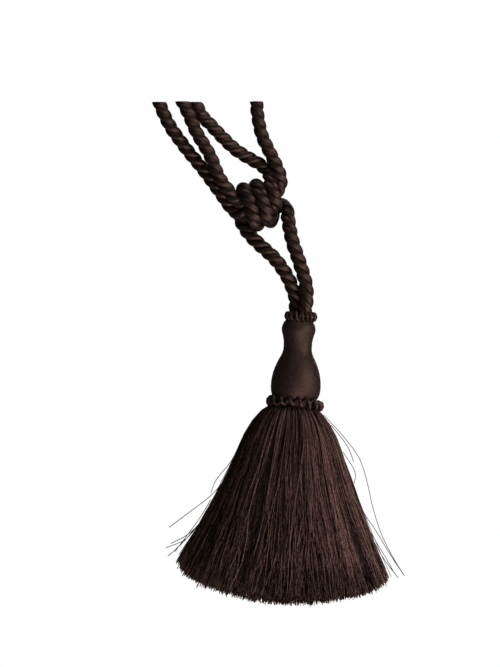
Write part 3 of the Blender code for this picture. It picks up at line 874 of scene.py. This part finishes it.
def make_threads(name, rng, mat, count, shares, start, steps, parts, paler=0.0):
    """Threads between two shares of the fringe's radius, in pieces of neighbouring threads."""
    lines, angle, tone = thread_lines(rng, count, shares, start, steps)
    # Painted light: paler lifts the tone of threads that lie in shade
    tone = np.minimum(tone + paler, 1.0)
    radius = np.linspace(THREAD_R[0], THREAD_R[1], steps + 1)[None, :]
    radius = radius * rng.uniform(*THREAD_UNEVEN, (count, 1))
    order = np.argsort(angle)
    for k, part in enumerate(np.array_split(order, parts)):
        thread_mesh(f"{name}_{k}", lines[part], tone[part], radius[part], mat, skirt_matrix())


def make_fringe(mat):
    rng = np.random.default_rng(THREAD_SEED)
    make_threads("fringe_outer", rng, mat, OUTER_THREADS, OUTER_BAND, 0.0, OUTER_STEPS, 3)
    make_threads("fringe_middle", rng, mat, MIDDLE_THREADS, MIDDLE_BAND, 0.0, MIDDLE_STEPS, 1)
    make_threads("fringe_inner", rng, mat, INNER_THREADS, INNER_BAND, INNER_START,
                 INNER_STEPS, 1, paler=INNER_PAINTED_LIGHT)


def make_loose_threads(mat):
    """The stray threads that stand off the fringe's sides."""
    steps = 16
    lines = []
    for points in LOOSE_THREADS:
        line = smooth_line(points, 10)
        run = np.concatenate([[0.0], np.cumsum(np.linalg.norm(np.diff(line, axis=0), axis=1))])
        at = np.linspace(0.0, run[-1], steps + 1)
        lines.append(np.stack([np.interp(at, run, line[:, k]) for k in range(3)], 1))
    lines = np.array(lines)
    tone = np.full(lines.shape[:2], LOOSE_TONE)
    radius = np.full(lines.shape[:2], LOOSE_R)
    thread_mesh("loose_threads", lines, tone, radius, mat, Matrix.Identity(4))


def make_camera():
    data = bpy.data.cameras.new("camera")
    data.sensor_fit = "VERTICAL"
    data.angle = 2.0 * math.atan(VIEW_HEIGHT / 2.0 / VIEW_DISTANCE)
    data.clip_end = 20.0
    ob = bpy.data.objects.new("camera", data)
    bpy.context.scene.collection.objects.link(ob)
    ob.location = (Vector(VIEW_CENTRE) + Vector((0.0, -VIEW_DISTANCE, 0.0))) * MM
    ob.rotation_euler = (math.pi / 2.0, 0.0, 0.0)
    bpy.context.scene.camera = ob


def make_light(name, azimuth, elevation, distance, size, power, colour):
    data = bpy.data.lights.new(name, "AREA")
    data.shape = "RECTANGLE"
    data.size = size[0]
    data.size_y = size[1]
    data.energy = power
    data.color = colour
    ob = bpy.data.objects.new(name, data)
    bpy.context.scene.collection.objects.link(ob)
    a = math.radians(azimuth)
    e = math.radians(elevation)
    away = Vector((math.sin(a) * math.cos(e), -math.cos(a) * math.cos(e), math.sin(e)))
    ob.location = Vector(LIGHT_CENTRE) + away * distance
    ob.rotation_euler = away.to_track_quat("Z", "Y").to_euler()


def make_world():
    """White behind the object, and a dimmer white light from all round."""
    world = bpy.data.worlds.new("studio")
    world.use_nodes = True
    tree = world.node_tree
    back = tree.nodes["Background"]
    back.inputs["Color"].default_value = (1.0, 1.0, 1.0, 1.0)
    back.inputs["Strength"].default_value = 1.0
    dim = node(tree, "ShaderNodeBackground")
    dim.inputs["Color"].default_value = (1.0, 0.98, 0.97, 1.0)
    dim.inputs["Strength"].default_value = 0.06
    path = node(tree, "ShaderNodeLightPath")
    mix = node(tree, "ShaderNodeMixShader")
    tree.links.new(path.outputs["Is Camera Ray"], mix.inputs["Fac"])
    tree.links.new(dim.outputs["Background"], mix.inputs[1])
    tree.links.new(back.outputs["Background"], mix.inputs[2])
    tree.links.new(mix.outputs["Shader"], tree.nodes["World Output"].inputs["Surface"])
    bpy.context.scene.world = world


def make_floor():
    mesh = bpy.data.meshes.new("floor")
    size = 1.6
    height = -1.0
    mesh.from_pydata([(-size, -size, height), (size, -size, height), (size, size, height),
                      (-size, size, height)], [], [(0, 1, 2, 3)])
    mat = bpy.data.materials.new("floor_paint")
    mat.use_nodes = True
    shader = mat.node_tree.nodes["Principled BSDF"]
    shader.inputs["Base Color"].default_value = (0.85, 0.85, 0.84, 1.0)
    shader.inputs["Roughness"].default_value = 0.8
    mesh.materials.append(mat)
    ob = bpy.data.objects.new("floor", mesh)
    bpy.context.scene.collection.objects.link(ob)


make_camera()
make_world()
make_light("key", 52.0, 12.0, 1.5, (0.6, 0.6), 8.0, (1.0, 0.96, 0.94))
make_light("side", 72.0, 5.0, 1.5, (0.5, 1.0), 4.5, (1.0, 0.97, 0.95))
make_light("top", 10.0, 80.0, 0.55, (0.3, 0.3), 0.55, (1.0, 0.97, 0.95))
make_light("back", 165.0, 25.0, 1.6, (0.8, 0.8), 4.5, (1.0, 0.97, 0.95))
make_light("bounce", 20.0, -40.0, 0.9, (0.7, 0.7), 6.5, (1.0, 0.95, 0.92))
make_floor()
bpy.context.scene.view_settings.view_transform = "Standard"

DARK = (0.010, 0.0052, 0.0043)
LIGHT = (0.040, 0.0225, 0.0190)
rope_mat = thread_material("rope_rayon", (0.0110, 0.0059, 0.0048), (0.0190, 0.0105, 0.0086),
                           0.40, (60.0, 1.5), 0.0, 0.0, satin=0.8, specular=0.45, plies=3)
head_mat = thread_material("head_rayon", (0.0045, 0.0024, 0.0020), (0.0310, 0.0174, 0.0147),
                           0.52, (28.0, 80.0), 4.0, 0.9)
gimp_mat = thread_material("gimp_rayon", DARK, LIGHT, 0.40, (12.0, 1.0), 2.0, 0.4)
fringe_mat = fringe_material("fringe_rayon", (0.005, 0.0026, 0.0022), (0.215, 0.123, 0.105),
                             0.45, 0.3)
# Near-black core: painted shade inside the fringe
core_shade_mat = thread_material("core_shade", (0.002, 0.0012, 0.001), (0.004, 0.0025, 0.002),
                           0.9, (300.0, 4.0), 2.0, 0.2)

make_rope("hanger_rope", hanger_route(), rope_mat, LEG_FULLNESS)
make_rope("tieback_rope_outer", OUTER_ROUTE, rope_mat)
make_rope("tieback_rope_inner", INNER_ROUTE, rope_mat)
make_head(head_mat)
make_upper_ruff(gimp_mat)
make_lower_ruff(gimp_mat)
make_core(core_shade_mat)
make_fringe(fringe_mat)
make_loose_threads(fringe_mat)
